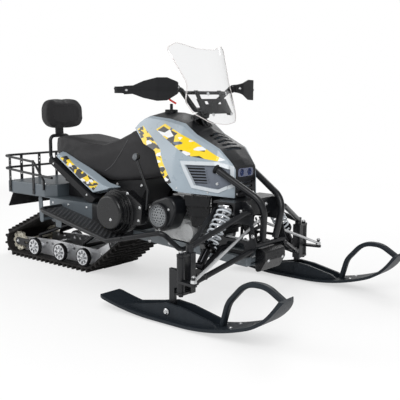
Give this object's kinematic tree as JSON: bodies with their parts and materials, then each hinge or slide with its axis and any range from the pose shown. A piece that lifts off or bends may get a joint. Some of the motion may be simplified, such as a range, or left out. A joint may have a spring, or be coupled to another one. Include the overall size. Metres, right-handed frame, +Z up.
{
  "type": "two-ski tracked snow vehicle",
  "caption": "Compact utility snow vehicle with a lugged drive track, steered front skis, straddle seat, cargo rack and windshield.",
  "frame": {"origin": "centre of the bounding box on the ground plane", "axes": "+X forward, +Y to the rider's left, +Z up"},
  "size_m": [2, 1.02, 1.0828],
  "materials": {
    "frame_paint": "satin bluish-grey paint",
    "black_steel": "satin black powder coat",
    "track_rubber": "moulded black rubber",
    "tyre_rubber": "smooth black rubber",
    "rail_alloy": "brushed",
    "wheel_alloy": "cast",
    "idler_plastic": "cream moulded plastic",
    "black_plastic": "grained black plastic",
    "grey_plastic": "light bluish-grey painted plastic",
    "intake_plastic": "dark grey finned plastic",
    "engine_alloy": "cast alloy",
    "seat_vinyl": "black vinyl",
    "lens": "dark blue-tinted lens",
    "screen": "clear acrylic",
    "chrome": "polished",
    "zinc": "zinc plated",
    "spring_white": "light grey paint",
    "ski_plastic": "black moulded plastic",
    "grip_rubber": "ribbed rubber",
    "red_plastic": "red plastic"
  },
  "bodies": {
    "chassis": {"backrest_pad": "seat_vinyl", "belly_panels": "black_plastic", "bogie_tyres": "tyre_rubber", "bogie_wheels": "wheel_alloy", "cargo_deck": "frame_paint", "cargo_rack": "black_steel", "drive_axle": "black_plastic", "drive_covers": "black_plastic", "engine": "engine_alloy", "fan_shroud": "black_plastic", "front_bumper": "black_steel", "front_subframe": "black_steel", "fuel_cap": "black_plastic", "grab_rail": "black_steel", "headlight": "lens", "hood_sides": "grey_plastic", "hood_top": "black_plastic", "intake_panels": "intake_plastic", "lower_arms": "black_steel", "lower_frame": "frame_paint", "mud_flap": "tyre_rubber", "nose_panel": "black_plastic", "rear_idlers": "idler_plastic", "return_rollers": "frame_paint", "running_boards": "black_steel", "seat": "seat_vinyl", "seat_base": "black_plastic", "shift_lever": "black_steel", "shocks": "chrome", "skid_cap": "black_plastic", "slide_rails": "rail_alloy", "springs": "spring_white", "swing_arms": "black_steel", "tail_fenders": "black_plastic", "tail_panels": "grey_plastic", "track": "track_rubber", "track_tensioners": "black_steel", "tunnel": "frame_paint", "upper_arms": "black_steel", "uprights": "black_steel"},
    "spindle_right": {"spindle_right": "black_steel"},
    "spindle_left": {"spindle_left": "black_steel"},
    "tie_rod_right": {"tie_rod_right": "zinc"},
    "tie_rod_left": {"tie_rod_left": "zinc"},
    "ski_right": {"ski_right": "ski_plastic"},
    "ski_left": {"ski_left": "ski_plastic"},
    "handlebar": {"steering_post": "black_steel", "handlebar": "black_steel", "grips": "grip_rubber", "hand_guards": "black_plastic", "windshield": "screen", "windshield_mount": "black_plastic", "thumb_lever": "red_plastic"}
  },
  "joints": [
    {"name": "steering", "type": "hinge", "parent": "chassis", "child": "handlebar", "pos_m": [0.51, 0, 0.288], "axis": [-0.4742, 0, 0.8804], "range_deg": [-30, 30]},
    {"name": "kingpin_right", "type": "hinge", "parent": "chassis", "child": "spindle_right", "pos_m": [0.515, -0.445, 0.19], "axis": [0, 0, 1], "range_deg": [-30, 30]},
    {"name": "tie_rod_end_right", "type": "hinge", "parent": "spindle_right", "child": "tie_rod_right", "pos_m": [0.59, -0.459, 0.179], "axis": [0, 0, 1], "range_deg": [-30, 30]},
    {"name": "ski_pitch_right", "type": "hinge", "parent": "spindle_right", "child": "ski_right", "pos_m": [0.48, -0.45, 0.049], "axis": [0, 1, 0], "range_deg": [-20, 15]},
    {"name": "kingpin_left", "type": "hinge", "parent": "chassis", "child": "spindle_left", "pos_m": [0.515, 0.445, 0.19], "axis": [0, 0, 1], "range_deg": [-30, 30]},
    {"name": "tie_rod_end_left", "type": "hinge", "parent": "spindle_left", "child": "tie_rod_left", "pos_m": [0.59, 0.459, 0.179], "axis": [0, 0, 1], "range_deg": [-30, 30]},
    {"name": "ski_pitch_left", "type": "hinge", "parent": "spindle_left", "child": "ski_left", "pos_m": [0.48, 0.45, 0.049], "axis": [0, 1, 0], "range_deg": [-20, 15]}
  ],
  "couplings": [
    {"joint": "kingpin_right", "follows": "steering", "ratio": 1},
    {"joint": "tie_rod_end_right", "follows": "steering", "ratio": -1},
    {"joint": "kingpin_left", "follows": "steering", "ratio": 1},
    {"joint": "tie_rod_end_left", "follows": "steering", "ratio": -1}
  ]
}
